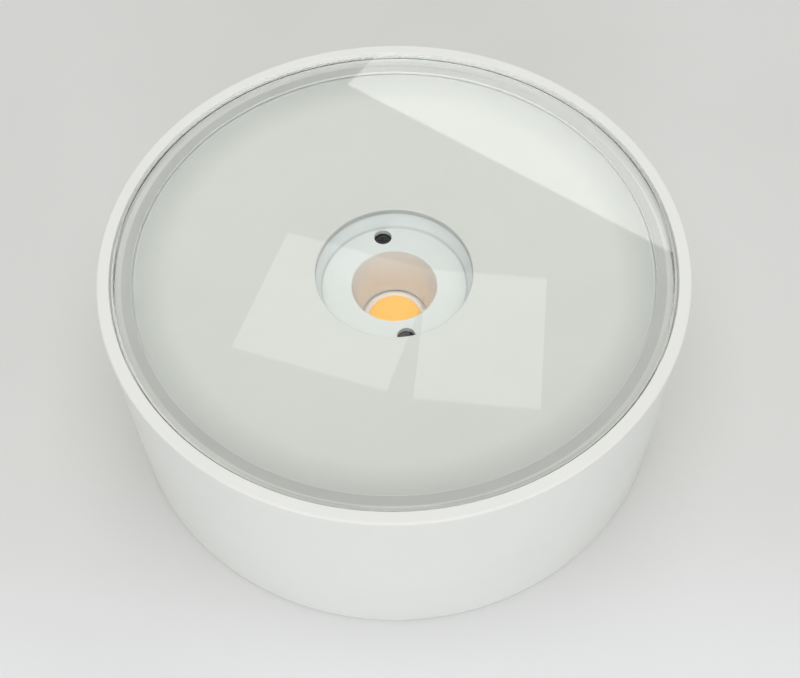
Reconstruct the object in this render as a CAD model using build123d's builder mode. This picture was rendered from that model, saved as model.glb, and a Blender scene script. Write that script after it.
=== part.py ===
from build123d import *
import os
from math import cos, pi, radians, sin, tan

# A round downlight that is fixed to the surface of a ceiling. The origin is the centre of the
# mounting face, and +Z runs from that face through the drum to the glass. Millimetres.

# Drum
body_diameter = 120.0
body_height = 48.0
rim_land = 2.6                # flat ring that shows round the glass
rim_round = 0.5               # rounding of the outer front edge
rim_inner_round = 0.2         # rounding of the land's inner edge
rear_chamfer = 0.5
ledge_width = 3.4             # step that carries the glass
rear_wall = 3.0               # wall round the driver's space
driver_space = 17.4           # mounting face to the underside of the web
web_thickness = 4.0
boss_radius = 2.6             # posts that carry the reflector
blind_hole_depth = 3.4        # screw holes in the web stop short of its far face

# Glass and its seal
glass_thickness = 3.0
glass_drop = 0.2              # glass face below the rim
glass_side_clearance = 0.3
glass_chamfer = 0.5
seal_thickness = 0.6
seal_clearance = 0.1          # below the glass
seal_overhang = 0.7           # the seal's inner edge reaches over the reflector's edge
seal_side_clearance = 0.2

# Reflector: a dish, and the cup that shows as a recess in its middle
reflector_side_clearance = 0.2
reflector_gap = 0.3           # below the seal
reflector_lip = 1.0           # flat ring at the edge of the dish
reflector_skirt = 3.8
reflector_skin = 1.3
dish_drop = 3.4               # from the lip to the edge of the recess
dish_sag = 0.7                # the dish's curve below a straight cone
recess_radius = 16.3
recess_draft = 1.1
recess_depth = 5.0
recess_floor_thickness = 2.8
recess_edge_round = 0.3
cup_setback = 0.3             # the cup's wall starts behind the dish's edge
cup_flange_width = 4.0        # flange under the dish
cup_wall = 1.6
bore_top_radius = 9.0
bore_bottom_radius = 7.25
bore_wall = 1.0
bore_gap = 0.5                # the bore stops short of the emitter's board
bore_edge_round = 0.3
reflector_screw_circle = 26.0
reflector_screw_angle = 100.0
sleeve_radius = 3.6           # sleeves under the recess, round its two screws
sleeve_length = 5.0
head_hole_radius = 1.9
head_hole_depth = 2.5

# Emitter, its board and its holder
emitter_radius = 5.65
emitter_thickness = 0.4
dam_width = 1.15
dam_height = 0.5
board_size = 18.0
board_thickness = 1.4
pad_thickness = 0.3
holder_length = 40.0
holder_width = 19.8
holder_height = 4.4
holder_corner = 3.0
holder_edge_round = 0.5
holder_clearance = 0.3        # round the reflector's bore
holder_pocket_clearance = 0.2
holder_screw_spacing = 31.0
holder_seat_depth = 2.0       # sinking of the holder's screw heads
contact_length = 6.1
contact_width = 2.0
contact_thickness = 0.3
contact_start = 7.5           # distance of a contact's inner end from the axis
contact_spacing = 11.0
contact_clearance = 0.2

# Leads, and the grommet that takes two of them through the web
led_lead_radius = 0.8
mains_lead_radius = 1.0
lead_clearance = 0.1
grommet_place = 42.0
grommet_neck_radius = 4.0
grommet_flange_radius = 5.4
grommet_flange_thickness = 1.0
grommet_bore_radius = 2.1
lead_spread = 2.2             # centre distance of the two leads in the grommet
lead_in_clamp = 2.0
live_bends = (-22.0, -6.0)    # where the lead leaves its terminal's row, and where it joins its lane
live_lane = -42.0             # stretch along the drum's wall
neutral_bends = (-24.0, -8.0)
neutral_lane = -45.5
earth_bend = -11.0
earth_mouth = 16.0            # last bend, from the earth screw
earth_crimp = 1.0             # lead's end, from the barrel's mouth
led_bend = 34.0
led_dip = 3.0
led_lane_height = 9.5
led_crests = (29.5, 28.0)     # highest stretch, between the web and the reflector
led_crest_row = 4.0
led_landing = (31.0, 25.5)    # way down from the crest to the holder
lead_on_contact = 3.0

# Driver
driver_y = 24.0               # centre of the driver's case
driver_length = 58.0
driver_width = 30.0
driver_height = 11.4
driver_wall = 1.5
driver_floor = 1.2
driver_corner = 2.0
driver_ear = 8.0
driver_ear_thickness = 2.0
standoff_height = 0.8
standoff_radius = 2.0
driver_board_thickness = 1.6
driver_board_clearance = 0.5
cover_rim_height = 1.5
cover_rim_wall = 1.0
cover_fit = 0.15
cover_chamfer = 0.4
standoff_inset = 3.0          # from the case's inner walls
led_row = -5.0                # leads along the case's ends, from its centre line
led_row_spacing = 3.0
mains_row = -9.0
mains_row_spacing = 4.0
lead_inside_case = 4.0

# Terminal block
terminal_place = (8.0, -27.0)
terminal_poles = 3
terminal_pitch = 10.0
terminal_width = 18.0
terminal_height = 12.0
terminal_corner = 1.0
clamp_size = 6.0
clamp_length = 14.0
clamp_bore_radius = 1.3
clamp_clearance = 0.1
clamp_screw_spacing = 8.0
access_hole_radius = 2.1
fixing_seat_radius = 2.5
fixing_seat_depth = 3.0

# Earth connection
earth_place = (-34.0, -28.0)
earth_direction = -26.5       # degrees, from the screw towards its lead
earth_tag_radius = 4.2
earth_tag_thickness = 0.8
earth_barrel_radius = 1.7
earth_barrel_length = 5.0
earth_barrel_start = 5.5
earth_tongue_width = 2.4

# Ceiling plate, its gasket and the cable's grommet
gasket_thickness = 0.8
gasket_width = 7.5
gasket_inset = 0.5
plate_thickness = 1.5
plate_side_clearance = 0.6
flange_width = 8.4
joggle_run = 2.0
cable_hole_radius = 9.0
cable_bore_radius = 4.0
cable_flange_radius = 11.5
cable_flange_thickness = 1.5
cable_foot_thickness = 0.7
cable_collar_height = 2.6
cable_collar_base_radius = 7.0
cable_collar_top_radius = 5.6
slot_spacing = 60.0
slot_length = 10.0
slot_width = 4.5

# Twist lock
lug_count = 3
lug_first_angle = 90.0
lug_arc = 22.0
lug_length = 5.0
lug_rise = 1.1                # lug above the mounting face
lug_thickness = 2.0
bayonet_play = 0.3
twist = 28.0                  # turn that brings the lugs into the notches
notch_clearance = 3.0         # degrees, at each side of a lug
notch_depth_clearance = 0.8
stop_arc = 2.0
stop_clearance = 0.5          # degrees
stop_inset = 1.0

# Screws: radius and height of the head, radius of the shank, reach past the seat
grip_clearance = 0.05         # shank in its threaded hole
reflector_screw = {"head": 1.7, "height": 1.3, "shank": 1.0, "reach": 8.0}
holder_screw = {"head": 2.8, "height": 1.6, "shank": 1.5, "reach": 5.4}
driver_screw = {"head": 2.8, "height": 1.8, "shank": 1.5, "reach": 5.0}
clamp_screw = {"head": 1.8, "height": 1.5, "shank": 1.2, "reach": 1.9}
fixing_screw = {"head": 2.2, "height": 1.6, "shank": 1.25, "reach": 12.0}
earth_screw_size = {"head": 3.5, "height": 2.4, "shank": 2.0, "reach": 3.9}
passing_clearance = 0.15      # shank in a hole that it only passes through

# Heights and radii that follow from the sizes above
body_radius = body_diameter / 2
pocket_radius = body_radius - rim_land
cavity_radius = pocket_radius - ledge_width
rear_radius = body_radius - rear_wall
web_top = driver_space + web_thickness
glass_top = body_height - glass_drop
glass_under = glass_top - glass_thickness
ledge_height = glass_under - seal_clearance - seal_thickness
glass_radius = pocket_radius - glass_side_clearance

holder_top = web_top + holder_height
board_under = web_top + pad_thickness
board_top = board_under + board_thickness
dam_radius = emitter_radius + dam_width

reflector_radius = cavity_radius - reflector_side_clearance
reflector_edge = ledge_height - reflector_gap
recess_edge = reflector_edge - dish_drop
cup_top = recess_edge - reflector_skin
cup_flange_radius = recess_radius + cup_setback + cup_flange_width
recess_floor = recess_edge - recess_depth
recess_under = recess_floor - recess_floor_thickness
sleeve_end = recess_floor - sleeve_length
reflector_seat = recess_floor - head_hole_depth
bore_end = board_top + bore_gap
bore_spread = (bore_top_radius - bore_bottom_radius) / (recess_under - bore_end)
holder_aperture_radius = (bore_bottom_radius + bore_wall + bore_spread * (holder_top - bore_end)
                          + holder_clearance)

driver_bottom = driver_space - driver_height
driver_board_top = driver_space - driver_floor - standoff_height
driver_board_under = driver_board_top - driver_board_thickness
mains_height = driver_board_under - mains_lead_radius
led_height = driver_board_under - led_lead_radius
contact_lead_height = board_top + contact_thickness + led_lead_radius

lug_top = lug_rise + lug_thickness
lug_inner = rear_radius - lug_length
lug_angles = [lug_first_angle + 360 * i / lug_count for i in range(lug_count)]
plate_under = gasket_thickness
plate_top = plate_under + plate_thickness
plate_radius = rear_radius - plate_side_clearance
flange_under = lug_top + bayonet_play
flange_top = flange_under + plate_thickness
joggle_radius = plate_radius - flange_width
foot_radius = joggle_radius - joggle_run

# Places that several pieces share
reflector_screw_places = []
for turn in (0, 180):
    direction = radians(reflector_screw_angle + turn)
    reflector_screw_places.append((cos(direction) * reflector_screw_circle / 2,
                                   sin(direction) * reflector_screw_circle / 2))
holder_screw_places = [(side * holder_screw_spacing / 2, 0) for side in (-1, 1)]
driver_screw_places = [(side * (driver_length + driver_ear) / 2, driver_y) for side in (-1, 1)]
terminal_length = terminal_pitch * terminal_poles
pole_rows = [terminal_place[1] + terminal_pitch * (terminal_poles - 1) / 2 - terminal_pitch * i
             for i in range(terminal_poles)]
clamp_screw_places = [(terminal_place[0] + side * clamp_screw_spacing / 2, row)
                      for row in pole_rows for side in (-1, 1)]
fixing_place = (terminal_place[0], (pole_rows[0] + pole_rows[1]) / 2)


def facing_up(places, height):
    return [Plane(origin=(x, y, height)) for x, y in places]


def facing_down(places, height):
    return [Plane(origin=(x, y, height), x_dir=(1, 0, 0), z_dir=(0, 0, -1)) for x, y in places]


def turned(height, angles):
    return [Plane.XY.offset(height).rotated((0, 0, angle)) for angle in angles]


# A piece of a flat ring, centred on the X axis of its sketch
def ring_sector(inner, outer, arc):
    with BuildSketch() as sector:
        with BuildLine():
            outside = CenterArc((0, 0), outer, -arc / 2, arc)
            inside = CenterArc((0, 0), inner, -arc / 2, arc)
            Line(outside @ 0, inside @ 0)
            Line(outside @ 1, inside @ 1)
        make_face()
    return sector.sketch


# Screws with a rounded head and a cross recess; each seat's normal points out through the head
def cross_screws(seats, size):
    drive_length = size["head"] * 1.2
    drive_width = size["head"] * 0.28
    drive_depth = size["height"] * 0.6
    with BuildPart() as screws:
        with BuildSketch(*seats):
            Circle(size["head"])
        extrude(amount=size["height"])
        crowns = screws.edges().filter_by(GeomType.CIRCLE).group_by(Axis.Z)
        fillet(crowns[-1] if seats[0].z_dir.Z > 0 else crowns[0], radius=size["height"] * 0.4)
        with BuildSketch(*seats):
            Circle(size["shank"])
        extrude(amount=-size["reach"])
        with BuildSketch(*[seat.offset(size["height"]) for seat in seats]):
            Rectangle(drive_length, drive_width)
            Rectangle(drive_width, drive_length)
        extrude(amount=-drive_depth, mode=Mode.SUBTRACT)
    return screws


# A lead along its route, with each bend as wide as its two runs allow
def lead(name, radius, points):
    corners = [Vector(*point) for point in points]
    bends = []
    for before, corner, after in zip(corners, corners[1:], corners[2:]):
        arriving = corner - before
        leaving = after - corner
        half_turn = radians(arriving.get_angle(leaving)) / 2
        bends.append(0.45 * min(arriving.length, leaving.length) / tan(half_turn))
    with BuildPart() as wire:
        with BuildLine() as route:
            FilletPolyline(*corners, radius=bends)
        with BuildSketch(Plane(origin=corners[0], z_dir=corners[1] - corners[0])):
            Circle(radius)
        sweep(path=route.wires()[0])
    length = route.wires()[0].length
    share = wire.part.volume / (pi * radius ** 2 * length)
    print(name, "length", round(length, 1), "bends", [round(bend, 1) for bend in bends],
          "volume over section times length", round(share, 4))
    return wire


# Housing: drum wall, glass ledge and web in one casting
with BuildPart() as housing:
    with BuildSketch(Plane.XZ):
        with BuildLine():
            Polyline(
                (0, driver_space), (rear_radius, driver_space), (rear_radius, 0), (body_radius, 0),
                (body_radius, body_height), (pocket_radius, body_height), (pocket_radius, ledge_height),
                (cavity_radius, ledge_height), (cavity_radius, web_top), (0, web_top), close=True)
        make_face()
    revolve(axis=Axis.Z)
    front_edges = housing.edges().filter_by(GeomType.CIRCLE).group_by(Axis.Z)[-1].sort_by(SortBy.RADIUS)
    fillet(front_edges[-1], radius=rim_round)
    fillet(front_edges[0], radius=rim_inner_round)
    rear_edges = housing.edges().filter_by(GeomType.CIRCLE).group_by(Axis.Z)[0].sort_by(SortBy.RADIUS)
    chamfer(rear_edges[-1], length=rear_chamfer)
    with BuildSketch(Plane.XY.offset(web_top)):
        with Locations(*reflector_screw_places):
            Circle(boss_radius)
    extrude(amount=sleeve_end - web_top)
    with BuildSketch(*turned(lug_rise, lug_angles)):
        add(ring_sector(lug_inner, rear_radius + rear_wall / 2, lug_arc))
    extrude(amount=lug_thickness)
    with Locations(*facing_up(reflector_screw_places, sleeve_end)):
        Hole(reflector_screw["shank"] + grip_clearance, depth=sleeve_end - web_top + blind_hole_depth)
    with Locations(*facing_up(holder_screw_places, web_top)):
        Hole(holder_screw["shank"] + grip_clearance, depth=blind_hole_depth)
    with Locations(*facing_down(driver_screw_places, driver_space)):
        Hole(driver_screw["shank"] + grip_clearance, depth=blind_hole_depth)
    with Locations(*facing_down([fixing_place], driver_space)):
        Hole(fixing_screw["shank"] + grip_clearance, depth=blind_hole_depth)
    with Locations(*facing_down([earth_place], driver_space)):
        Hole(earth_screw_size["shank"] + grip_clearance, depth=blind_hole_depth)
    with Locations((grommet_place, 0, web_top)):
        Hole(grommet_neck_radius, depth=web_thickness)

# Glass cover with ground edges
with BuildPart() as glass_cover:
    with BuildSketch(Plane.XY.offset(glass_under)):
        Circle(glass_radius)
    extrude(amount=glass_thickness)
    chamfer(glass_cover.edges().filter_by(GeomType.CIRCLE), length=glass_chamfer)

# Seal between the glass and its ledge, which also covers the gap round the reflector
with BuildPart() as glass_seal:
    with BuildSketch(Plane.XY.offset(ledge_height)):
        Circle(pocket_radius - seal_side_clearance)
        Circle(cavity_radius - seal_overhang, mode=Mode.SUBTRACT)
    extrude(amount=seal_thickness)

# Reflector: the dish, with a skirt inside the drum and a flat seat round its hole
dish_rim = reflector_radius - reflector_lip
dish_middle = (dish_rim + recess_radius) / 2
dish_middle_height = (reflector_edge + recess_edge) / 2 - dish_sag
skirt_inside = reflector_radius - reflector_skin
skirt_end = reflector_edge - reflector_skirt
with BuildPart() as reflector:
    with BuildSketch(Plane.XZ):
        with BuildLine():
            Polyline(
                (recess_radius, recess_edge), (recess_radius, cup_top), (cup_flange_radius, cup_top))
            ThreePointArc(
                (cup_flange_radius, cup_top), (dish_middle, dish_middle_height - reflector_skin),
                (skirt_inside, reflector_edge - reflector_skin))
            Polyline(
                (skirt_inside, reflector_edge - reflector_skin), (skirt_inside, skirt_end),
                (reflector_radius, skirt_end), (reflector_radius, reflector_edge),
                (dish_rim, reflector_edge))
            ThreePointArc(
                (dish_rim, reflector_edge), (dish_middle, dish_middle_height),
                (recess_radius, recess_edge))
        make_face()
    revolve(axis=Axis.Z)
    hole_edges = reflector.edges().filter_by(GeomType.CIRCLE).sort_by(SortBy.RADIUS)[:2]
    fillet(hole_edges.sort_by(Axis.Z)[-1], radius=recess_edge_round)

# Cup under the dish: its tapering wall, its floor and the bore down to the emitter
recess_foot = recess_radius - recess_draft
cup_mouth = recess_radius + cup_setback
cup_outside = cup_mouth + cup_wall
with BuildPart() as reflector_cup:
    with BuildSketch(Plane.XZ):
        with BuildLine():
            Polyline(
                (cup_mouth, cup_top), (recess_foot, recess_floor), (bore_top_radius, recess_floor),
                (bore_bottom_radius, bore_end), (bore_bottom_radius + bore_wall, bore_end),
                (bore_top_radius + bore_wall, recess_under), (cup_outside, recess_under),
                (cup_outside, cup_top - cup_wall), (cup_flange_radius, cup_top - cup_wall),
                (cup_flange_radius, cup_top), close=True)
        make_face()
    revolve(axis=Axis.Z)
    bore_edges = reflector_cup.edges().filter_by(GeomType.CIRCLE).filter_by_position(
        Axis.Z, recess_floor, recess_floor)
    fillet(bore_edges.sort_by(SortBy.RADIUS)[0], radius=bore_edge_round)
    with BuildSketch(Plane.XY.offset(recess_under)):
        with Locations(*reflector_screw_places):
            Circle(sleeve_radius)
    extrude(amount=sleeve_end - recess_under)
    with Locations(*facing_up(reflector_screw_places, recess_floor)):
        CounterBoreHole(reflector_screw["shank"] + passing_clearance, head_hole_radius, head_hole_depth,
                        depth=sleeve_length)

reflector_screws = cross_screws(facing_up(reflector_screw_places, reflector_seat), reflector_screw)

# Pad, board, dam and emitter, stacked on the web
with BuildPart() as thermal_pad:
    with BuildSketch(Plane.XY.offset(web_top)):
        Rectangle(board_size, board_size)
    extrude(amount=pad_thickness)

with BuildPart() as cob_board:
    with BuildSketch(Plane.XY.offset(board_under)):
        Rectangle(board_size, board_size)
    extrude(amount=board_thickness)

with BuildPart() as cob_dam:
    with BuildSketch(Plane.XY.offset(board_top)):
        Circle(dam_radius)
        Circle(emitter_radius, mode=Mode.SUBTRACT)
    extrude(amount=dam_height)
    fillet(cob_dam.edges().filter_by(GeomType.CIRCLE).group_by(Axis.Z)[-1], radius=dam_height * 0.6)

with BuildPart() as cob_emitter:
    with BuildSketch(Plane.XY.offset(board_top)):
        Circle(emitter_radius)
    extrude(amount=emitter_thickness)

# Holder: a bar that clamps the board, with a channel and a hole for each lead
contact_rows = [side * contact_spacing / 2 for side in (-1, 1)]
channel_start = contact_start - contact_clearance
channel_end = contact_start + contact_length + contact_clearance
with BuildPart() as cob_holder:
    with BuildSketch(Plane.XY.offset(web_top)):
        RectangleRounded(holder_length, holder_width, holder_corner)
    extrude(amount=holder_height)
    with BuildSketch(Plane.XY.offset(web_top)):
        Rectangle(board_size + 2 * holder_pocket_clearance, board_size + 2 * holder_pocket_clearance)
    extrude(amount=pad_thickness + board_thickness, mode=Mode.SUBTRACT)
    with BuildSketch(Plane.XY.offset(web_top)):
        Circle(holder_aperture_radius)
    extrude(amount=holder_height, mode=Mode.SUBTRACT)
    with Locations(*facing_up(holder_screw_places, holder_top)):
        CounterBoreHole(
            holder_screw["shank"] + passing_clearance, holder_screw["head"] + 2 * passing_clearance,
            holder_seat_depth, depth=holder_height)
    with BuildSketch(Plane.XY.offset(board_top)):
        with Locations(*[((channel_start + channel_end) / 2, row) for row in contact_rows]):
            Rectangle(channel_end - channel_start, contact_width + 2 * contact_clearance)
    extrude(amount=contact_thickness + 2 * led_lead_radius + lead_clearance, mode=Mode.SUBTRACT)
    with BuildSketch(Plane(
            origin=(channel_end, 0, contact_lead_height), x_dir=(0, 1, 0), z_dir=(1, 0, 0))):
        with Locations(*[(row, 0) for row in contact_rows]):
            Circle(led_lead_radius + lead_clearance)
    extrude(amount=holder_length / 2 - channel_end, mode=Mode.SUBTRACT)
    fillet(cob_holder.faces().sort_by(Axis.Z)[-1].outer_wire().edges(), radius=holder_edge_round)

with BuildPart() as holder_contacts:
    with BuildSketch(Plane.XY.offset(board_top)):
        with Locations(*[(contact_start + contact_length / 2, row) for row in contact_rows]):
            Rectangle(contact_length, contact_width)
    extrude(amount=contact_thickness)

holder_screws = cross_screws(
    facing_up(holder_screw_places, holder_top - holder_seat_depth), holder_screw)

# Grommet in the web
with BuildPart() as lead_grommet:
    with BuildSketch(Plane(origin=(grommet_place, 0, driver_space - grommet_flange_thickness))):
        Circle(grommet_flange_radius)
    extrude(amount=grommet_flange_thickness)
    with BuildSketch(Plane(origin=(grommet_place, 0, driver_space))):
        Circle(grommet_neck_radius - grip_clearance)
    extrude(amount=web_thickness)
    with BuildSketch(Plane(origin=(grommet_place, 0, web_top))):
        Circle(grommet_flange_radius)
    extrude(amount=grommet_flange_thickness)
    with Locations((grommet_place, 0, web_top + grommet_flange_thickness)):
        Hole(grommet_bore_radius, depth=web_thickness + 2 * grommet_flange_thickness)

# Driver case: a tray against the web, and a cover over its open side
driver_inside_length = driver_length - 2 * driver_wall
driver_inside_width = driver_width - 2 * driver_wall
cover_top = driver_bottom + driver_floor
driver_end = driver_length / 2
led_rows = [driver_y + led_row - led_row_spacing * i for i in range(2)]
mains_rows = [driver_y + mains_row + mains_row_spacing * i for i in range(2)]
standoff_x = driver_inside_length / 2 - standoff_inset
standoff_y = driver_inside_width / 2 - standoff_inset
standoff_places = [(x * standoff_x, driver_y + y * standoff_y) for x in (-1, 1) for y in (-1, 1)]
with BuildPart() as driver_tray:
    with BuildSketch(Plane(origin=(0, driver_y, cover_top))):
        RectangleRounded(driver_length, driver_width, driver_corner)
    extrude(amount=driver_space - cover_top)
    with BuildSketch(Plane(origin=(0, driver_y, cover_top))):
        Rectangle(driver_inside_length, driver_inside_width)
    extrude(amount=driver_space - driver_floor - cover_top, mode=Mode.SUBTRACT)
    with BuildSketch(Plane.XY.offset(driver_board_top)):
        with Locations(*standoff_places):
            Circle(standoff_radius)
    extrude(amount=standoff_height)
    with BuildSketch(Plane.XY.offset(driver_space - driver_ear_thickness)):
        with Locations(*driver_screw_places):
            RectangleRounded(driver_ear, 2 * driver_ear, driver_corner)
    extrude(amount=driver_ear_thickness)
    with Locations(*facing_down(driver_screw_places, driver_space - driver_ear_thickness)):
        Hole(driver_screw["shank"] + passing_clearance, depth=driver_ear_thickness)
    with BuildSketch(Plane(origin=(driver_end, 0, led_height), x_dir=(0, 1, 0), z_dir=(1, 0, 0))):
        with Locations(*[(row, 0) for row in led_rows]):
            Circle(led_lead_radius + lead_clearance)
    extrude(amount=-driver_wall, mode=Mode.SUBTRACT)
    with BuildSketch(Plane(origin=(-driver_end, 0, mains_height), x_dir=(0, 1, 0), z_dir=(1, 0, 0))):
        with Locations(*[(row, 0) for row in mains_rows]):
            Circle(mains_lead_radius + lead_clearance)
    extrude(amount=driver_wall, mode=Mode.SUBTRACT)

with BuildPart() as driver_cover:
    with BuildSketch(Plane(origin=(0, driver_y, driver_bottom))):
        RectangleRounded(driver_length, driver_width, driver_corner)
    extrude(amount=driver_floor)
    with BuildSketch(Plane(origin=(0, driver_y, cover_top))):
        Rectangle(driver_inside_length - 2 * cover_fit, driver_inside_width - 2 * cover_fit)
        Rectangle(driver_inside_length - 2 * cover_fit - 2 * cover_rim_wall,
                  driver_inside_width - 2 * cover_fit - 2 * cover_rim_wall, mode=Mode.SUBTRACT)
    extrude(amount=cover_rim_height)
    chamfer(driver_cover.faces().sort_by(Axis.Z)[0].edges(), length=cover_chamfer)

driver_screws = cross_screws(
    facing_down(driver_screw_places, driver_space - driver_ear_thickness), driver_screw)

with BuildPart() as driver_board:
    with BuildSketch(Plane(origin=(0, driver_y, driver_board_under))):
        Rectangle(driver_inside_length - 2 * driver_board_clearance,
                  driver_inside_width - 2 * driver_board_clearance)
    extrude(amount=driver_board_thickness)

# Parts on the underside of the driver's board, placed from the middle or from the ends of the case
core_place = (3.0, driver_y + 3.0)
core_size = (13.0, 12.0, 6.2)
core_leg = 2.1
core_middle = driver_board_under - core_size[2] / 2
winding_overhang = 1.5
winding_clearance = 0.2
with BuildPart() as transformer_core:
    with BuildSketch(Plane(origin=(core_place[0], core_place[1] - core_size[1] / 2, core_middle),
                           x_dir=(1, 0, 0), z_dir=(0, 1, 0))):
        Rectangle(core_size[0], core_size[2])
        Rectangle(core_size[0] - 2 * core_leg, core_size[2] - core_leg, mode=Mode.SUBTRACT)
    extrude(amount=core_size[1])

with BuildPart() as transformer_winding:
    winding_length = core_size[1] + 2 * winding_overhang
    with BuildSketch(Plane(origin=(core_place[0], core_place[1] - winding_length / 2, core_middle),
                           x_dir=(1, 0, 0), z_dir=(0, 1, 0))):
        RectangleRounded(core_size[0] - 2 * core_leg - 2 * winding_clearance,
                         core_size[2] - core_leg - 2 * winding_clearance, 1.0)
    extrude(amount=winding_length)

capacitor_radius = 3.1
capacitor_length = 12.0
capacitor_insets = (17.0, 11.0)
capacitor_places = [(capacitor_insets[0] - driver_end, driver_y + 3.0),
                    (driver_end - capacitor_insets[1], driver_y + 3.0)]
with BuildPart() as driver_capacitors:
    with BuildSketch(*[Plane(origin=(x, y - capacitor_length / 2, driver_board_under - capacitor_radius),
                             x_dir=(1, 0, 0), z_dir=(0, 1, 0)) for x, y in capacitor_places]):
        Circle(capacitor_radius)
    extrude(amount=capacitor_length)
    fillet(driver_capacitors.edges().filter_by(GeomType.CIRCLE), radius=0.5)

choke_inset = 9.5
choke_place = (choke_inset - driver_end, driver_y - 7.0)
choke_radius = 3.4
choke_height = 6.0
choke_waist = 2.6
choke_rim = 1.0
with BuildPart() as driver_choke:
    with BuildSketch(Plane(origin=(*choke_place, driver_board_under - choke_height))):
        Circle(choke_waist)
    extrude(amount=choke_height)
    with BuildSketch(Plane(origin=(*choke_place, driver_board_under - choke_height)),
                     Plane(origin=(*choke_place, driver_board_under - choke_rim))):
        Circle(choke_radius)
    extrude(amount=choke_rim)

film_capacitor_inset = 9.0
film_capacitor_place = (film_capacitor_inset - driver_end, driver_y + 6.0)
film_capacitor_size = (8.0, 4.5, 6.0)
with BuildPart() as driver_film_capacitor:
    with BuildSketch(Plane(origin=(*film_capacitor_place, driver_board_under - film_capacitor_size[2]))):
        RectangleRounded(film_capacitor_size[0], film_capacitor_size[1], 0.6)
    extrude(amount=film_capacitor_size[2])

chip_inset = 9.0
chip_places = [(-5.0, driver_y - 9.0), (8.0, driver_y - 8.0), (driver_end - chip_inset, driver_y - 9.0)]
chip_size = (5.0, 4.0, 1.8)
with BuildPart() as driver_chips:
    with BuildSketch(*[Plane(origin=(x, y, driver_board_under - chip_size[2])) for x, y in chip_places]):
        Rectangle(chip_size[0], chip_size[1])
    extrude(amount=chip_size[2])

# Terminal block, with a brass clamp and two screws for each pole
terminal_under = driver_space - terminal_height
terminal_side = terminal_place[0] - terminal_width / 2
clamp_under = mains_height - clamp_size / 2
with BuildPart() as terminal_block:
    with BuildSketch(Plane(origin=(*terminal_place, terminal_under))):
        RectangleRounded(terminal_width, terminal_length, terminal_corner)
    extrude(amount=terminal_height)
    with BuildSketch(Plane(origin=(terminal_side, 0, mains_height), x_dir=(0, 1, 0), z_dir=(1, 0, 0))):
        with Locations(*[(row, 0) for row in pole_rows]):
            Rectangle(clamp_size + 2 * clamp_clearance, clamp_size + 2 * clamp_clearance)
    extrude(amount=terminal_width, mode=Mode.SUBTRACT)
    with Locations(*facing_down(clamp_screw_places, terminal_under)):
        Hole(access_hole_radius, depth=clamp_under - terminal_under)
    with Locations(*facing_down([fixing_place], terminal_under)):
        CounterBoreHole(fixing_screw["shank"] + passing_clearance, fixing_seat_radius, fixing_seat_depth,
                        depth=terminal_height)

with BuildPart() as terminal_clamps:
    with BuildSketch(Plane(origin=(terminal_place[0] - clamp_length / 2, 0, mains_height),
                           x_dir=(0, 1, 0), z_dir=(1, 0, 0))):
        with Locations(*[(row, 0) for row in pole_rows]):
            Rectangle(clamp_size, clamp_size)
            Circle(clamp_bore_radius, mode=Mode.SUBTRACT)
    extrude(amount=clamp_length)
    with Locations(*facing_down(clamp_screw_places, clamp_under)):
        Hole(clamp_screw["shank"] + grip_clearance, depth=clamp_size / 2)

terminal_screws = cross_screws(facing_down(clamp_screw_places, clamp_under), clamp_screw)
terminal_fixing_screw = cross_screws(
    facing_down([fixing_place], terminal_under + fixing_seat_depth), fixing_screw)

# Earth tag: a ring under the screw, with a barrel for the lead
earth_turn = Vector(cos(radians(earth_direction)), sin(radians(earth_direction)), 0)
earth_centre = Vector(*earth_place, 0)
tag_under = driver_space - earth_tag_thickness
barrel_height = driver_space - earth_barrel_radius
barrel_start = earth_centre + earth_turn * earth_barrel_start + Vector(0, 0, barrel_height)
with BuildPart() as earth_tag:
    with BuildSketch(Plane(origin=(*earth_place, tag_under), x_dir=earth_turn)):
        Circle(earth_tag_radius)
        with Locations((earth_barrel_start / 2, 0)):
            Rectangle(earth_barrel_start + earth_barrel_radius, earth_tongue_width)
        Circle(earth_screw_size["shank"] + passing_clearance, mode=Mode.SUBTRACT)
    extrude(amount=earth_tag_thickness)
    with BuildSketch(Plane(origin=barrel_start, z_dir=earth_turn)):
        Circle(earth_barrel_radius)
    extrude(amount=earth_barrel_length)
    with BuildSketch(Plane(origin=barrel_start, z_dir=earth_turn)):
        Circle(mains_lead_radius + lead_clearance)
    extrude(amount=earth_barrel_length, mode=Mode.SUBTRACT)

earth_screw = cross_screws(facing_down([earth_place], tag_under), earth_screw_size)

# Leads
clamp_end = terminal_place[0] - clamp_length / 2 + lead_in_clamp
case_end = lead_inside_case - driver_end


def mains_lead(name, terminal_row, bends, lane, case_row):
    return lead(name, mains_lead_radius, [
        (clamp_end, terminal_row, mains_height), (bends[0], terminal_row, mains_height),
        (lane, bends[1], mains_height), (lane, case_row, mains_height),
        (case_end, case_row, mains_height)])


live_lead = mains_lead("live_lead", pole_rows[0], live_bends, live_lane, mains_rows[0])
neutral_lead = mains_lead("neutral_lead", pole_rows[1], neutral_bends, neutral_lane, mains_rows[1])
barrel_mouth = earth_centre + earth_turn * earth_mouth + Vector(0, 0, barrel_height)
barrel_inside = barrel_start + earth_turn * earth_crimp
earth_lead = lead("earth_lead", mains_lead_radius, [
    (clamp_end, pole_rows[2], mains_height), (earth_bend, pole_rows[2], mains_height),
    tuple(barrel_mouth), tuple(barrel_inside)])


# An emitter's lead comes out of the driver's case, rises through the web and drops into the holder
def led_lead(name, case_row, column, contact_row, crest, crest_row):
    return lead(name, led_lead_radius, [
        (driver_end - lead_inside_case, case_row, led_height), (led_bend, case_row, led_height),
        (column, case_row - led_dip, led_lane_height), (column, 0, led_lane_height), (column, 0, crest),
        (led_landing[0], crest_row, crest), (led_landing[1], contact_row, contact_lead_height),
        (contact_start + lead_on_contact, contact_row, contact_lead_height)])


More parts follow.
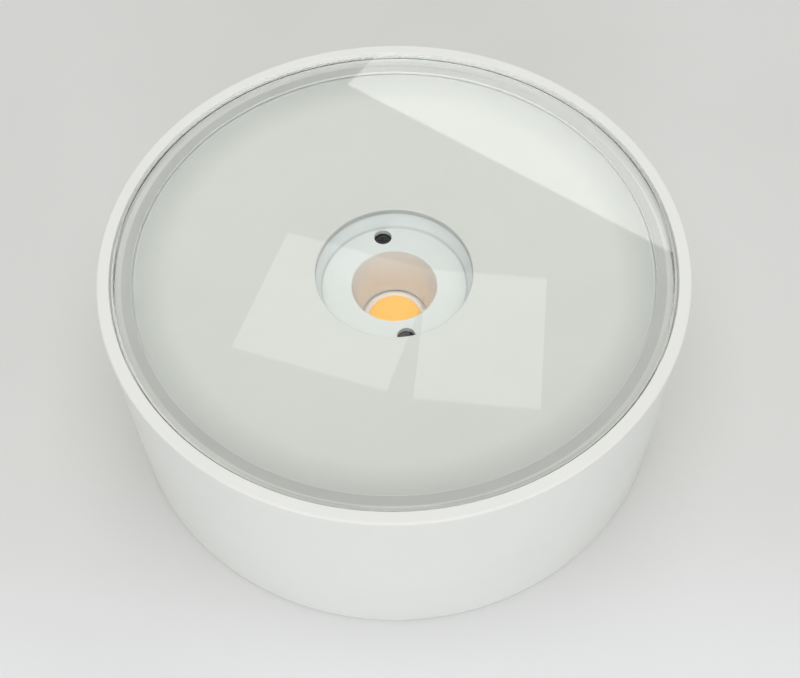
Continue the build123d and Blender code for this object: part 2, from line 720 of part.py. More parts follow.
led_lead_positive = led_lead(
    "led_lead_positive", led_rows[0], grommet_place + lead_spread / 2, contact_rows[1],
    led_crests[0], led_crest_row)
led_lead_negative = led_lead(
    "led_lead_negative", led_rows[1], grommet_place - lead_spread / 2, contact_rows[0],
    led_crests[1], -led_crest_row)

# Ceiling plate: a pressed disc whose raised flange is notched for the drum's lugs
with BuildPart() as ceiling_plate:
    with BuildSketch(Plane.XZ):
        with BuildLine():
            Polyline(
                (cable_hole_radius, plate_under), (foot_radius, plate_under),
                (joggle_radius, flange_under), (plate_radius, flange_under), (plate_radius, flange_top),
                (joggle_radius - plate_thickness / 2, flange_top),
                (foot_radius - plate_thickness / 2, plate_top), (cable_hole_radius, plate_top),
                close=True)
        make_face()
    revolve(axis=Axis.Z)
    with BuildSketch(*turned(flange_under, [angle + twist for angle in lug_angles])):
        add(ring_sector(lug_inner - notch_depth_clearance, plate_radius + plate_side_clearance,
                        lug_arc + 2 * notch_clearance))
    extrude(amount=plate_thickness, mode=Mode.SUBTRACT)
    stop_offset = lug_arc / 2 + stop_clearance + stop_arc / 2
    with BuildSketch(*turned(lug_rise, [angle - stop_offset for angle in lug_angles])):
        add(ring_sector(lug_inner + stop_inset, plate_radius - stop_inset, stop_arc))
    extrude(amount=flange_under - lug_rise)
    with BuildSketch(Plane.XY.offset(plate_under)):
        with GridLocations(slot_spacing, 0, 2, 1):
            SlotOverall(slot_length, slot_width)
    extrude(amount=plate_thickness, mode=Mode.SUBTRACT)

with BuildPart() as base_gasket:
    with BuildSketch(Plane.XY):
        Circle(foot_radius - gasket_inset)
        Circle(foot_radius - gasket_inset - gasket_width, mode=Mode.SUBTRACT)
    extrude(amount=gasket_thickness)

# Grommet in the plate, with a soft collar round the cable
cable_foot = plate_under - cable_foot_thickness
collar_base = plate_top + cable_flange_thickness
with BuildPart() as cable_grommet:
    with BuildSketch(Plane.XZ):
        with BuildLine():
            Polyline(
                (cable_bore_radius, cable_foot), (cable_flange_radius, cable_foot),
                (cable_flange_radius, plate_under), (cable_hole_radius - grip_clearance, plate_under),
                (cable_hole_radius - grip_clearance, plate_top), (cable_flange_radius, plate_top),
                (cable_flange_radius, collar_base), (cable_collar_base_radius, collar_base),
                (cable_collar_top_radius, collar_base + cable_collar_height),
                (cable_bore_radius, collar_base + cable_collar_height), close=True)
        make_face()
    revolve(axis=Axis.Z)

pieces = {
    "ceiling_plate": ceiling_plate,
    "base_gasket": base_gasket,
    "cable_grommet": cable_grommet,
    "housing": housing,
    "glass_cover": glass_cover,
    "glass_seal": glass_seal,
    "reflector": reflector,
    "reflector_cup": reflector_cup,
    "reflector_screws": reflector_screws,
    "thermal_pad": thermal_pad,
    "cob_board": cob_board,
    "cob_dam": cob_dam,
    "cob_emitter": cob_emitter,
    "cob_holder": cob_holder,
    "holder_contacts": holder_contacts,
    "holder_screws": holder_screws,
    "lead_grommet": lead_grommet,
    "driver_tray": driver_tray,
    "driver_cover": driver_cover,
    "driver_screws": driver_screws,
    "driver_board": driver_board,
    "transformer_core": transformer_core,
    "transformer_winding": transformer_winding,
    "driver_capacitors": driver_capacitors,
    "driver_choke": driver_choke,
    "driver_film_capacitor": driver_film_capacitor,
    "driver_chips": driver_chips,
    "terminal_block": terminal_block,
    "terminal_clamps": terminal_clamps,
    "terminal_screws": terminal_screws,
    "terminal_fixing_screw": terminal_fixing_screw,
    "earth_tag": earth_tag,
    "earth_screw": earth_screw,
    "live_lead": live_lead,
    "neutral_lead": neutral_lead,
    "earth_lead": earth_lead,
    "led_lead_positive": led_lead_positive,
    "led_lead_negative": led_lead_negative,
}

os.makedirs("parts", exist_ok=True)
for name, piece in pieces.items():
    piece.part.label = name
    export_step(piece.part, f"parts/{name}.step")
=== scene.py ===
import math
import bpy
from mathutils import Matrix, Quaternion, Vector


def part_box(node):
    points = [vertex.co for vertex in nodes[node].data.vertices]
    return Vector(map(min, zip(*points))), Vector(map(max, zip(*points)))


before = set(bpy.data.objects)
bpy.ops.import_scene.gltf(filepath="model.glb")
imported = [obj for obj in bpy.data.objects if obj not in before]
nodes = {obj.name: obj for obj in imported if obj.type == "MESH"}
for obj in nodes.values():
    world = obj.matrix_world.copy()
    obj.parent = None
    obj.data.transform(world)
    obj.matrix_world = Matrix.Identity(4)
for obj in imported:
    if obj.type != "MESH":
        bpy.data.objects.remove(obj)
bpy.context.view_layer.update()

mm = 0.001
noInner, noOuter = -1 * mm, 70 * mm  # past every surface: a band with one is open at that end
print("frame loaded with", len(nodes), "nodes")


# helpers for node trees: an input is a number, a colour or another node's socket
def addNode(tree, kind, inputs=None, **settings):
    node = tree.nodes.new("ShaderNode" + kind)
    for name, value in settings.items():
        setattr(node, name, value)
    fillInputs(tree, node, inputs or {})
    return node


def fillInputs(tree, node, inputs):
    for name, value in inputs.items():
        if isinstance(value, bpy.types.NodeSocket):
            tree.links.new(value, node.inputs[name])
        else:
            node.inputs[name].default_value = value


def newGroup(name, inputs, outputs):
    group = bpy.data.node_groups.new(name, "ShaderNodeTree")
    newSocket = group.interface.new_socket
    for socketName, value in inputs.items():
        socket = newSocket(name=socketName, in_out="INPUT", socket_type="NodeSocketFloat")
        socket.default_value = value
    for socketName in outputs:
        newSocket(name=socketName, in_out="OUTPUT", socket_type="NodeSocketFloat")
    return group, group.nodes.new("NodeGroupInput").outputs, group.nodes.new("NodeGroupOutput")


def useGroup(tree, name, inputs):
    node = tree.nodes.new("ShaderNodeGroup")
    node.node_tree = bpy.data.node_groups[name]
    fillInputs(tree, node, inputs)
    return node.outputs


def ownPlace(tree):
    return addNode(tree, "TexCoord").outputs["Object"]


def combine(tree, operation, first, second):
    return addNode(tree, "Math", {0: first, 1: second}, operation=operation).outputs[0]


def mixColours(tree, mask, first, second):
    pair = [(*tone, 1) if isinstance(tone, tuple) else tone for tone in (first, second)]
    return addNode(tree, "Mix", {0: mask, 6: pair[0], 7: pair[1]}, data_type="RGBA").outputs[2]


# from one value where the mask is 0 to another where it is 1
def spread(tree, mask, low, high):
    inputs = {"Value": mask, "To Min": low, "To Max": high}
    return addNode(tree, "MapRange", inputs).outputs["Result"]


# a mask that goes from 0 to 1 as a value goes from its start to its end
def ramp(tree, value, start, end, kind="SMOOTHSTEP"):
    inputs = {"Value": value, "From Min": start, "From Max": end}
    return addNode(tree, "MapRange", inputs, interpolation_type=kind).outputs["Result"]


# fine grain: coat, mouldings and rubber
def buildGrain():
    group, given, made = newGroup("fineGrain", {"Scale": 2000, "Roughen": 0.5}, ["Height", "Mask"])
    place = ownPlace(group)
    fine = addNode(group, "TexNoise", {
        "Vector": place, "Scale": given["Scale"], "Detail": 3, "Roughness": given["Roughen"]})
    coarse = combine(group, "MULTIPLY", given["Scale"], 0.21)  # patches as wide as five grains
    patches = addNode(group, "TexNoise", {"Vector": place, "Scale": coarse, "Detail": 2})
    fillInputs(group, made, {"Height": fine.outputs["Fac"], "Mask": patches.outputs["Fac"]})


# soft uneven film: handling marks and slight colour drift
def buildFilm():
    group, given, made = newGroup("softFilm", {"Scale": 40, "Low": 0.4, "High": 0.65}, ["Mask"])
    clouds = addNode(group, "TexNoise", {
        "Vector": ownPlace(group), "Scale": given["Scale"],
        "Detail": 4, "Roughness": 0.6, "Distortion": 0.4})
    film = ramp(group, clouds.outputs["Fac"], given["Low"], given["High"])
    fillInputs(group, made, {"Mask": film})


# drawn lines along X: sheet metal, wire and screws
def buildLines():
    group, given, made = newGroup("drawnLines", {"Scale": 900, "Stretch": 0.04}, ["Height", "Mask"])
    squeeze = addNode(group, "CombineXYZ", {"X": given["Stretch"], "Y": 1.0, "Z": 1.0})
    drawn = addNode(group, "VectorMath", {
        0: ownPlace(group), 1: squeeze.outputs[0]}, operation="MULTIPLY").outputs[0]
    lines = addNode(group, "TexNoise", {
        "Vector": drawn, "Scale": given["Scale"], "Detail": 4, "Roughness": 0.65})
    broad = combine(group, "MULTIPLY", given["Scale"], 0.15)  # bands as wide as seven lines
    bands = addNode(group, "TexNoise", {"Vector": drawn, "Scale": broad, "Detail": 2})
    fillInputs(group, made, {"Height": lines.outputs["Fac"], "Mask": bands.outputs["Fac"]})


# 1 from the inner to the outer limit of a value, with soft ends
def bandBetween(tree, given, value):
    steps = []
    for edge in ("Inner", "Outer"):
        past = combine(tree, "SUBTRACT", value, given[edge])
        share = combine(tree, "DIVIDE", past, given["Soft"])
        steps.append(addNode(tree, "Clamp", {"Value": share}).outputs[0])
    return combine(tree, "SUBTRACT", *steps)


# ring round the lamp's axis, in metres: ground glass edges, lips and seats
def buildRing():
    limits = {"Inner": 50 * mm, "Outer": 60 * mm, "Soft": 0.2 * mm}
    group, given, made = newGroup("ringBand", limits, ["Mask"])
    flat = addNode(group, "VectorMath", {0: ownPlace(group), 1: (1, 1, 0)}, operation="MULTIPLY")
    radius = addNode(group, "VectorMath", {0: flat.outputs[0]}, operation="LENGTH")
    fillInputs(group, made, {"Mask": bandBetween(group, given, radius.outputs["Value"])})


# layer between two heights, in metres: the glass's pocket, screw holes and the choke's turns
def buildLayer():
    limits = {"Inner": 10 * mm, "Outer": 20 * mm, "Soft": 0.1 * mm}
    group, given, made = newGroup("heightBand", limits, ["Mask"])
    height = addNode(group, "SeparateXYZ", {0: ownPlace(group)}).outputs["Z"]
    fillInputs(group, made, {"Mask": bandBetween(group, given, height)})


# faces that look along one axis of the lamp: the earth lead's stripe and the ends of cans
def buildFacing():
    axisAndLimits = {"X": 0, "Y": 0, "Z": 1, "Low": 0.6, "High": 0.75}
    group, given, made = newGroup("facing", axisAndLimits, ["Mask"])
    axis = addNode(group, "CombineXYZ", {"X": given["X"], "Y": given["Y"], "Z": given["Z"]})
    normal = addNode(group, "TexCoord").outputs["Normal"]
    along = addNode(group, "VectorMath", {0: normal, 1: axis.outputs[0]}, operation="DOT_PRODUCT")
    size = addNode(group, "Math", {0: along.outputs["Value"]}, operation="ABSOLUTE").outputs[0]
    fillInputs(group, made, {"Mask": ramp(group, size, given["Low"], given["High"], "LINEAR")})


for build in (buildGrain, buildFilm, buildLines, buildRing, buildLayer, buildFacing):
    build()
print("shared effects:", ", ".join(group.name for group in bpy.data.node_groups))


# a finish is a material with its node tree, its shader and its output
def newMaterial(name):
    material = bpy.data.materials.new(name)
    material.use_nodes = True
    tree = material.node_tree
    tree.nodes.clear()
    shader = addNode(tree, "BsdfPrincipled")
    output = addNode(tree, "OutputMaterial", {"Surface": shader.outputs[0]})
    return material, tree, shader, output


# what a finish has unless the piece's own dictionary says otherwise; depth in millimetres
plainLook = {"film": 60, "relief": "fineGrain", "depth": 0.03, "metal": 0.0}


# a finish with two close tones, an uneven roughness and a fine relief
def plainFinish(name, ownLook):
    look = {**plainLook, **ownLook}
    finish = newMaterial(name)
    tree, shader = finish[1:3]
    film = useGroup(tree, "softFilm", {"Scale": look["film"]})
    relief = useGroup(tree, look["relief"], {"Scale": look["grain"]})
    bump = addNode(tree, "Bump", {
        "Strength": look["bump"], "Distance": look["depth"] * mm, "Height": relief["Height"]})
    fillInputs(tree, shader, {
        "Base Color": mixColours(tree, film["Mask"], *look["tones"]),
        "Roughness": spread(tree, relief["Mask"], *look["roughness"]),
        "Metallic": look["metal"],
        "Normal": bump.outputs[0]})
    return finish


# a second tone over a finish, where the mask is 1
def overlay(finish, mask, tone):
    tree, shader = finish[1:3]
    under = shader.inputs["Base Color"].links[0].from_socket
    fillInputs(tree, shader, {"Base Color": mixColours(tree, mask, under, tone)})


# masks for an overlay: between two radii, between two heights, and where two masks meet
def ringMask(finish, inner, outer, soft):
    return useGroup(finish[1], "ringBand", {"Inner": inner, "Outer": outer, "Soft": soft})["Mask"]


def layerMask(finish, inner, outer, soft):
    return useGroup(finish[1], "heightBand", {"Inner": inner, "Outer": outer, "Soft": soft})["Mask"]


def both(finish, first, second):
    return combine(finish[1], "MULTIPLY", first, second)


def dress(finish, *nodeNames):
    for nodeName in nodeNames:
        for slot in nodes[nodeName].material_slots:
            slot.material = finish[0]


# drum: white powder coat with a fine even texture
coatLook = {
    "tones": ((0.800, 0.806, 0.770), (0.788, 0.794, 0.757)),
    "roughness": (0.55, 0.70),
    "grain": 1300, "bump": 0.6, "depth": 0.025, "film": 35,
    "pocket": (0.96, 0.96, 0.94),  # painted light: brighter where the glass lies, lifting the shade in its pocket
    "pocketRadius": 57.42 * mm, "pocketFloor": 44 * mm, "pocketSoft": 0.02 * mm,
}
coat = plainFinish("whiteCoat", coatLook)
pocketInside = ringMask(coat, noInner, coatLook["pocketRadius"], coatLook["pocketSoft"])
pocketAbove = layerMask(coat, coatLook["pocketFloor"], noOuter, coatLook["pocketSoft"])
# painted light over the glass's pocket, lifting the shade there
overlay(coat, both(coat, pocketInside, pocketAbove), coatLook["pocket"])
dress(coat, "housing")

# front glass: clear, faintly green, with ground edges
glassLook = {
    "tint": (0.978, 0.986, 0.976), "past": 0.955,  # share of the light that gets past its faces
    "ior": 1.5,
    "faceRoughness": (0.0, 0.008), "edgeRoughness": 0.2,
    "groundEdge": 0.5 * mm, "edgeSoft": 0.05 * mm,  # as wide as the bevels
    "film": {"Scale": 45, "Low": 0.5, "High": 0.8},
}


def clearGlass(look):
    finish = newMaterial("clearGlass")
    tree, shader, output = finish[1:]
    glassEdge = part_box("glass_cover")[1].x
    edge = ringMask(finish, glassEdge - look["groundEdge"], noOuter, look["edgeSoft"])
    film = useGroup(tree, "softFilm", look["film"])
    face = spread(tree, film["Mask"], *look["faceRoughness"])
    fillInputs(tree, shader, {
        "Base Color": (*look["tint"], 1), "IOR": look["ior"], "Transmission Weight": 1.0,
        "Roughness": spread(tree, edge, face, look["edgeRoughness"])})
    passed = [share * look["past"] for share in look["tint"]]
    through = addNode(tree, "BsdfTransparent", {"Color": (*passed, 1)})
    shadow = addNode(tree, "LightPath").outputs["Is Shadow Ray"]
    blend = addNode(tree, "MixShader", {0: shadow, 1: shader.outputs[0], 2: through.outputs[0]})
    fillInputs(tree, output, {"Surface": blend.outputs[0]})
    return finish


dress(clearGlass(glassLook), "glass_cover")

# seal under the glass: painted light makes it paler on its outer band and palest on its two edges,
# lifting the shade under the glass
sealLook = {
    "tones": ((0.470, 0.475, 0.455), (0.485, 0.490, 0.470)),
    "roughness": (0.55, 0.7), "grain": 1500, "bump": 0.2,
    # painted light: a paler outer band and pale inner and outer faces
    "pressed": (0.59, 0.59, 0.57), "pressedWidth": 1.9 * mm, "pressedSoft": 0.1 * mm,
    "paintedEdgeFace": (0.80, 0.80, 0.78), "cutRadius": 53.32 * mm, "cutSoft": 0.02 * mm,
    "side": (0.93, 0.93, 0.91), "sideWidth": 0.15 * mm, "sideSoft": 0.05 * mm,
}
seal = plainFinish("paleSeal", sealLook)
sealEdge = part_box("glass_seal")[1].x
pressed = ringMask(seal, sealEdge - sealLook["pressedWidth"], noOuter, sealLook["pressedSoft"])
innerFace = ringMask(seal, noInner, sealLook["cutRadius"], sealLook["cutSoft"])
outerFace = ringMask(seal, sealEdge - sealLook["sideWidth"], noOuter, sealLook["sideSoft"])
# painted light on the outer band and on both faces, lifting the shade in the corners
overlay(seal, pressed, sealLook["pressed"])
overlay(seal, innerFace, sealLook["paintedEdgeFace"])
overlay(seal, outerFace, sealLook["side"])
dress(seal, "glass_seal")

# reflector: satin white dish, with painted shade on its inner edge face
dishLook = {
    "tones": ((0.670, 0.680, 0.640), (0.660, 0.670, 0.630)),
    "roughness": (0.20, 0.26), "grain": 900, "bump": 0.04, "film": 25,
    "paintedEdgeFace": (0.50, 0.515, 0.505), "cutRadius": 16.35 * mm, "cutSoft": 0.1 * mm,
    # painted shade: darker towards the seal; painted light: bright under its edge
    "outer": (0.540, 0.550, 0.530), "outerFrom": 46 * mm, "outerSpan": 7 * mm,
    "lip": (0.68, 0.69, 0.67), "lipFrom": 52.7 * mm, "lipSpan": 0.4 * mm,
}
dish = plainFinish("reflectorWhite", dishLook)
edgeFaceShade = ringMask(dish, noInner, dishLook["cutRadius"], dishLook["cutSoft"])
# painted shade: grey on the inner edge face
overlay(dish, edgeFaceShade, dishLook["paintedEdgeFace"])
# painted shade towards the seal, and painted light under the seal's edge
for ring in ("outer", "lip"):
    mask = ringMask(dish, dishLook[ring + "From"], noOuter, dishLook[ring + "Span"])
    overlay(dish, mask, dishLook[ring])
dress(dish, "reflector")

# cup in the dish's middle, with a warmer bore and two dark screw holes
cupLook = {
    "tones": ((0.735, 0.760, 0.740), (0.725, 0.750, 0.730)),
    "roughness": (0.20, 0.26), "grain": 900, "bump": 0.04,
    # wall (painted light, lifting its shade), crease (painted shade) and bore: tone, inner and
    # outer radius
    "rings": (
        ((0.80, 0.83, 0.825), 15.25 * mm, 17 * mm),
        ((0.66, 0.68, 0.68), 15.0 * mm, 15.35 * mm),
        ((0.845, 0.81, 0.775), noInner, 8.9 * mm),
    ),
    "ringSoft": 0.15 * mm,
    "hole": (0.02, 0.02, 0.02), "holeRadii": (9.6 * mm, 15 * mm), "holeSoft": 0.1 * mm,
    "holeLit": 34.2 * mm, "holeLitSoft": 0.15 * mm,  # black below this height: painted shade in the holes, also standing in for the black screw heads
}
cup = plainFinish("cupWhite", cupLook)
# painted light on the wall and painted shade in the crease; the bore's warm tone is its own
for tone, inner, outer in cupLook["rings"]:
    overlay(cup, ringMask(cup, inner, outer, cupLook["ringSoft"]), tone)
holeRing = ringMask(cup, *cupLook["holeRadii"], cupLook["holeSoft"])
holeDepth = layerMask(cup, noInner, cupLook["holeLit"], cupLook["holeLitSoft"])
# painted shade down in the screw holes, also standing in for their black screw heads
overlay(cup, both(cup, holeRing, holeDepth), cupLook["hole"])
dress(cup, "reflector_cup")

# emitter and what holds it
phosphorLook = {
    "tones": ((0.98, 0.525, 0.068), (0.97, 0.505, 0.060)),
    "roughness": (0.35, 0.5), "grain": 4000, "bump": 0.1, "film": 300,
    "paintedGlow": (1.0, 0.56, 0.11), "paintedGlowStrength": 0.13,  # painted light: a faint glow, standing in for the phosphor's fluorescence in daylight
}
damLook = {
    "tones": ((0.90, 0.80, 0.71), (0.87, 0.77, 0.685)),
    "roughness": (0.4, 0.5), "grain": 2000, "bump": 0.1,
}
boardLook = {
    "tones": ((0.70, 0.70, 0.67), (0.74, 0.74, 0.71)),
    "roughness": (0.4, 0.5), "grain": 3000, "bump": 0.1,
}
padLook = {
    "tones": ((0.32, 0.34, 0.38), (0.36, 0.38, 0.42)),
    "roughness": (0.75, 0.9), "grain": 2200, "bump": 0.3,
}
holderLook = {
    "tones": ((0.80, 0.79, 0.76), (0.78, 0.77, 0.74)),
    "roughness": (0.4, 0.55), "grain": 1800, "bump": 0.15,
}
contactLook = {
    "tones": ((0.72, 0.52, 0.30), (0.64, 0.46, 0.26)),
    "roughness": (0.25, 0.4), "grain": 1500, "relief": "drawnLines", "bump": 0.12, "metal": 1.0,
}
phosphor = plainFinish("phosphor", phosphorLook)
# painted light: the phosphor glows a little though the lamp is off
fillInputs(phosphor[1], phosphor[2], {
    "Emission Color": (*phosphorLook["paintedGlow"], 1),
    "Emission Strength": phosphorLook["paintedGlowStrength"]})
dress(phosphor, "cob_emitter")
dress(plainFinish("damWhite", damLook), "cob_dam")
dress(plainFinish("boardCeramic", boardLook), "cob_board")
dress(plainFinish("padGrey", padLook), "thermal_pad")
dress(plainFinish("holderWhite", holderLook), "cob_holder")
dress(plainFinish("contactBronze", contactLook), "holder_contacts")

# screws: black ones in the reflector, bright zinc everywhere else
blackScrewLook = {
    "tones": ((0.006, 0.006, 0.007), (0.012, 0.012, 0.013)),
    "roughness": (0.6, 0.8), "grain": 1800, "relief": "drawnLines", "bump": 0.15,
}
zincLook = {
    "tones": ((0.66, 0.66, 0.64), (0.54, 0.55, 0.55)),
    "roughness": (0.22, 0.42), "grain": 1300, "relief": "drawnLines", "bump": 0.15,
    "film": 400, "metal": 1.0,
}
dress(plainFinish("blackScrew", blackScrewLook), "reflector_screws")
dress(plainFinish("zincScrew", zincLook), "holder_screws", "driver_screws", "terminal_screws",
      "terminal_fixing_screw", "earth_screw")

# ceiling plate, foam ring and grommets
plateLook = {
    "tones": ((0.60, 0.61, 0.60), (0.52, 0.53, 0.53)),
    "roughness": (0.28, 0.45), "grain": 700, "relief": "drawnLines", "bump": 0.12,
    "film": 90, "metal": 1.0,
}
foamLook = {
    "tones": ((0.030, 0.030, 0.031), (0.050, 0.050, 0.051)),
    "roughness": (0.85, 0.95), "grain": 1600, "bump": 0.8, "depth": 0.15,
}
rubberLook = {
    "tones": ((0.026, 0.026, 0.027), (0.036, 0.036, 0.037)),
    "roughness": (0.5, 0.7), "grain": 1200, "bump": 0.25,
}
dress(plainFinish("plateZinc", plateLook), "ceiling_plate")
dress(plainFinish("foamBlack", foamLook), "base_gasket")
dress(plainFinish("blackRubber", rubberLook), "cable_grommet", "lead_grommet")
print("drum, optics and plate dressed")

# driver: white case, green board and the parts on it
caseLook = {
    "tones": ((0.70, 0.70, 0.68), (0.67, 0.67, 0.65)),
    "roughness": (0.5, 0.65), "grain": 1500, "bump": 0.35, "film": 70,
}
circuitLook = {
    "tones": ((0.020, 0.115, 0.050), (0.026, 0.150, 0.068)),
    "roughness": (0.3, 0.45), "grain": 500, "relief": "drawnLines", "bump": 0.2, "film": 250,
}
ferriteLook = {
    "tones": ((0.035, 0.035, 0.038), (0.055, 0.055, 0.058)),
    "roughness": (0.55, 0.75), "grain": 2500, "bump": 0.4,
}
chokeLook = {
    **ferriteLook,
    "wire": (0.48, 0.17, 0.06), "wireSoft": 0.1 * mm,
    "bareFoot": 1 * mm, "bareTop": 1.1 * mm,  # no turns at either end
}
tapeLook = {
    "tones": ((0.72, 0.50, 0.07), (0.66, 0.44, 0.055)),
    "roughness": (0.25, 0.4), "grain": 600, "relief": "drawnLines", "bump": 0.3, "film": 200,
}
sleeveLook = {
    "tones": ((0.014, 0.022, 0.055), (0.020, 0.030, 0.070)),
    "roughness": (0.28, 0.42), "grain": 1800, "bump": 0.1, "film": 300,
    "can": (0.70, 0.70, 0.69),
    "canEnds": {"Y": 1, "Z": 0, "Low": 0.9, "High": 0.97},  # the cans lie along Y
}
filmBoxLook = {
    "tones": ((0.30, 0.065, 0.035), (0.34, 0.080, 0.045)),
    "roughness": (0.35, 0.5), "grain": 2000, "bump": 0.2, "film": 300,
}
chipLook = {
    "tones": ((0.013, 0.013, 0.014), (0.020, 0.020, 0.021)),
    "roughness": (0.5, 0.65), "grain": 3500, "bump": 0.3, "film": 500,
}
dress(plainFinish("caseWhite", caseLook), "driver_tray", "driver_cover")
dress(plainFinish("circuitGreen", circuitLook), "driver_board")
dress(plainFinish("ferrite", ferriteLook), "transformer_core")
dress(plainFinish("yellowTape", tapeLook), "transformer_winding")
dress(plainFinish("redFilmBox", filmBoxLook), "driver_film_capacitor")
dress(plainFinish("blackChip", chipLook), "driver_chips")
capacitor = plainFinish("blueSleeve", sleeveLook)
canEnds = useGroup(capacitor[1], "facing", sleeveLook["canEnds"])["Mask"]
overlay(capacitor, canEnds, sleeveLook["can"])
fillInputs(capacitor[1], capacitor[2], {"Metallic": canEnds})
dress(capacitor, "driver_capacitors")
choke = plainFinish("woundFerrite", chokeLook)
chokeLow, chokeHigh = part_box("driver_choke")
wound = layerMask(choke, chokeLow.z + chokeLook["bareFoot"], chokeHigh.z - chokeLook["bareTop"],
                  chokeLook["wireSoft"])
overlay(choke, wound, chokeLook["wire"])
dress(choke, "driver_choke")

# terminal block, its brass and the tinned earth tag
blockLook = {
    "tones": ((0.74, 0.73, 0.68), (0.71, 0.70, 0.65)),
    "roughness": (0.35, 0.5), "grain": 1400, "bump": 0.15, "film": 80,
}
brassLook = {
    "tones": ((0.73, 0.53, 0.22), (0.62, 0.44, 0.18)),
    "roughness": (0.22, 0.4), "grain": 900, "relief": "drawnLines", "bump": 0.15,
    "film": 200, "metal": 1.0,
}
tagLook = {**contactLook, "tones": ((0.74, 0.72, 0.68), (0.66, 0.64, 0.60))}
dress(plainFinish("blockIvory", blockLook), "terminal_block")
dress(plainFinish("clampBrass", brassLook), "terminal_clamps")
dress(plainFinish("tinnedTag", tagLook), "earth_tag")

# leads: brown, blue, green with a yellow stripe, red and black
leadLook = {"roughness": (0.38, 0.5), "grain": 900, "bump": 0.12, "film": 150}
leadTones = {
    "live_lead": ((0.105, 0.036, 0.018), (0.120, 0.042, 0.021)),
    "neutral_lead": ((0.022, 0.110, 0.400), (0.026, 0.125, 0.440)),
    "earth_lead": ((0.030, 0.230, 0.050), (0.036, 0.260, 0.058)),
    "led_lead_positive": ((0.440, 0.018, 0.016), (0.490, 0.022, 0.019)),
    "led_lead_negative": ((0.016, 0.016, 0.017), (0.024, 0.024, 0.025)),
}
earthStripe = (0.80, 0.60, 0.03)  # on top of the lead and under it
for name, tones in leadTones.items():
    finish = plainFinish(name, {**leadLook, "tones": tones})
    if name == "earth_lead":
        overlay(finish, useGroup(finish[1], "facing", {})["Mask"], earthStripe)
    dress(finish, name)
print("driver, terminals and leads dressed")

# table: pale, with painted light making it a little lighter in front, and fading into the backdrop
# far away
tableLook = {
    "reach": 6.0,
    "tones": ((0.684, 0.688, 0.667), (0.671, 0.675, 0.654)),
    "roughness": (0.6, 0.75), "grain": 400, "bump": 0.04, "film": 9,
    "front": (0.815, 0.815, 0.832), "frontFrom": -0.02, "frontTo": -0.10,
    "far": (0.64, 0.64, 0.634), "farFrom": 0.22, "farTo": 0.75,
}


def makeTable(look):
    reach = look["reach"]
    mesh = bpy.data.meshes.new("paleTable")
    corners = [(x * reach, y * reach, 0) for x, y in ((-1, -1), (1, -1), (1, 1), (-1, 1))]
    mesh.from_pydata(corners, [], [(0, 1, 2, 3)])
    floor = bpy.data.objects.new("paleTable", mesh)
    bpy.context.scene.collection.objects.link(floor)
    finish = plainFinish("paleTable", look)
    material, tree, shader, output = finish
    place = ownPlace(tree)
    depth = addNode(tree, "SeparateXYZ", {0: place}).outputs["Y"]
    # painted light: lighter in front of the drum
    overlay(finish, ramp(tree, depth, look["frontFrom"], look["frontTo"]), look["front"])
    distance = addNode(tree, "VectorMath", {0: place}, operation="LENGTH").outputs["Value"]
    fade = ramp(tree, distance, look["farFrom"], look["farTo"])
    direct = addNode(tree, "LightPath").outputs["Is Camera Ray"]
    backdrop = addNode(tree, "Emission", {"Color": (*look["far"], 1)})
    blend = addNode(tree, "MixShader", {
        0: both(finish, fade, direct), 1: shader.outputs[0], 2: backdrop.outputs[0]})
    fillInputs(tree, output, {"Surface": blend.outputs[0]})
    mesh.materials.append(material)


makeTable(tableLook)


# looks along a direction, rolled by an angle in degrees
def turned(ahead, roll):
    return ahead.to_track_quat("-Z", "Y") @ Quaternion((0, 0, 1), math.radians(roll))


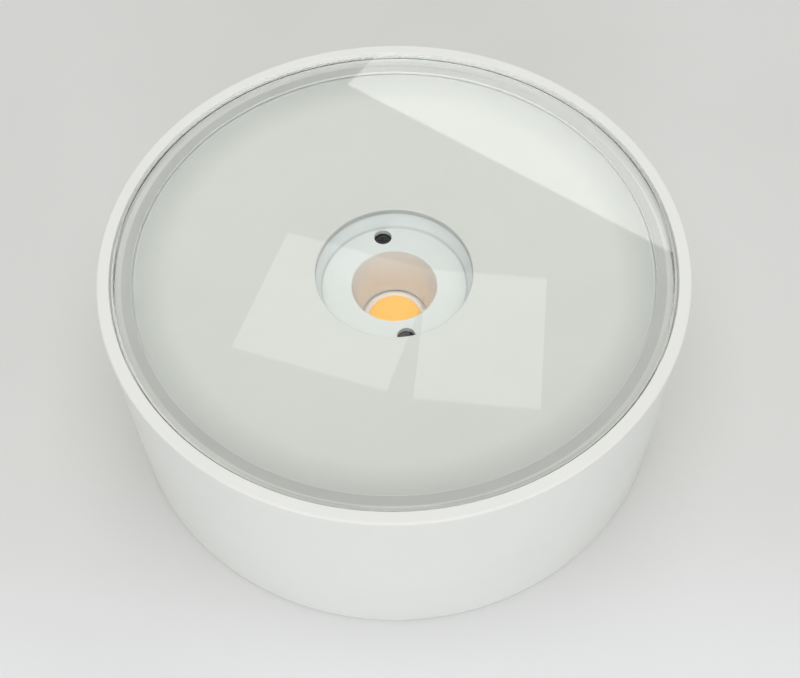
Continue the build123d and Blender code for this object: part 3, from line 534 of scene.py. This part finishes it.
# soft light from all round, and three softboxes that the glass mirrors
lightLook = {
    "sky": (1.0, 1.0, 0.99), "skyStrength": 0.445, "seenStrength": 0.64,
    "mirroredStrength": 0.30, "throughStrength": 0.147,  # in reflections, and through the glass
    "cool": (0.955, 0.985, 1.04), "coolPanels": ("frontPanel", "middlePanel"),
    # name: place, point that it faces, turn in degrees, width, depth, watts
    "panels": {
        "overheadPanel": ((0, -0.22, 1.3), (0, 0, 0.02), 0, 1.2, 1.2, 8.8),
        "frontPanel": ((0, -1.3, 0.12), (0, 0, 0.02), 0, 0.5, 0.5, 0.5),
        "middlePanel": ((0, -1.2, 0.45), (0, 0, 0.02), 0, 0.5, 0.5, 3.7),
        "rearPanel": ((0, 1.3, 0.2), (0, 0, 0.02), 0, 0.5, 0.5, 2.6),
        "leftSoftbox": ((-0.070, 0.650, 1.0), (-0.070, 0.650, 0), -19.7, 0.188, 0.176, 0.083),
        "rightSoftbox": ((0.100, 0.606, 1.0), (0.100, 0.606, 0), -7.1, 0.142, 0.18, 0.063),
        "farSoftbox": ((0.308, 0.96, 1.0), (0.308, 0.96, 0), -36.8, 0.65, 0.35, 1.35),
    },
}


def makeLight(look):
    world = bpy.data.worlds.new("softRoom")
    bpy.context.scene.world = world
    world.use_nodes = True
    tree = world.node_tree
    path = addNode(tree, "LightPath").outputs
    strength = spread(tree, path["Is Glossy Ray"], look["skyStrength"], look["mirroredStrength"])
    strength = spread(tree, path["Is Transmission Ray"], strength, look["throughStrength"])
    strength = spread(tree, path["Is Camera Ray"], strength, look["seenStrength"])
    fillInputs(tree, tree.nodes["Background"], {"Color": (*look["sky"], 1), "Strength": strength})
    for name, (place, aim, turn, width, depth, power) in look["panels"].items():
        lamp = bpy.data.lights.new(name, "AREA")
        lamp.shape = "RECTANGLE"
        lamp.size = width
        lamp.size_y = depth
        lamp.energy = power
        if name in look["coolPanels"]:
            lamp.color = look["cool"]
        panel = bpy.data.objects.new(name, lamp)
        panel.location = place
        panel.rotation_mode = "QUATERNION"
        panel.rotation_quaternion = turned(Vector(aim) - panel.location, turn)
        panel.visible_camera = False
        bpy.context.scene.collection.objects.link(panel)


makeLight(lightLook)

# camera at the photograph's place: it aims at a point on the glass and is rolled a little
cameraLook = {
    "place": (0.0, -0.14726, 0.24026), "aim": (0.00089, -0.02108, 0.048), "roll": -0.85,
    "lens": 53.6, "sensor": 36.0, "clipStart": 0.01,
}


def makeCamera(look):
    data = bpy.data.cameras.new("photoView")
    data.lens = look["lens"]
    data.sensor_width = look["sensor"]
    data.clip_start = look["clipStart"]
    camera = bpy.data.objects.new("photoView", data)
    camera.location = look["place"]
    camera.rotation_mode = "QUATERNION"
    camera.rotation_quaternion = turned(Vector(look["aim"]) - camera.location, look["roll"])
    bpy.context.scene.collection.objects.link(camera)
    bpy.context.scene.camera = camera


makeCamera(cameraLook)
bpy.context.scene.view_settings.view_transform = "Standard"
print("table, light and camera in place")
